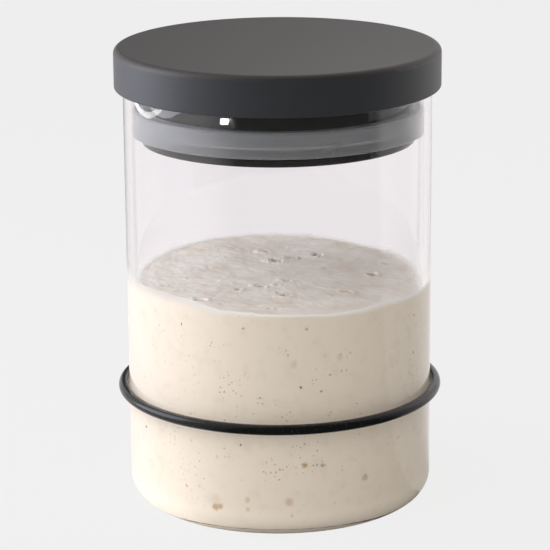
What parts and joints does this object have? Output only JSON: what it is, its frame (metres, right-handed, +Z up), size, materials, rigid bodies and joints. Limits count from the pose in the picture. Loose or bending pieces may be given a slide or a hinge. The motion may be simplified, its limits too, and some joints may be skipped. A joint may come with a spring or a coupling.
{
  "type": "sourdough starter jar",
  "caption": "Straight glass jar half filled with dough, closed by a charcoal plug lid with a soft seal, with a rubber marker ring round the glass.",
  "frame": {"origin": "centre of the foot, on the surface that the jar stands on", "axes": "+Z up along the jar's axis; the jar is round, so +X and +Y are free, and the picture looks along +Y"},
  "size_m": [0.107, 0.107, 0.151],
  "materials": {
    "borosilicate_glass": "clear, flame-polished rim",
    "dough": "wet cream dough with small bubbles",
    "charcoal_cap": "fine matte texture",
    "charcoal_plug": "satin moulded",
    "grey_silicone": "translucent, satin",
    "black_rubber": "satin"
  },
  "bodies": {
    "jar": {"glass_jar": "borosilicate_glass", "sourdough_starter": "dough"},
    "lid": {"lid_cap": "charcoal_cap", "lid_plug": "charcoal_plug", "lid_gasket": "grey_silicone"},
    "band": {"marker_band": "black_rubber"}
  },
  "joints": [
    {"name": "lid_lift", "type": "slide", "parent": "jar", "child": "lid", "axis": [0, 0, 1], "range_m": [0, 0.06]},
    {"name": "band_slide", "type": "slide", "parent": "jar", "child": "band", "axis": [0, 0, 1], "range_m": [-0.028, 0.098]}
  ]
}
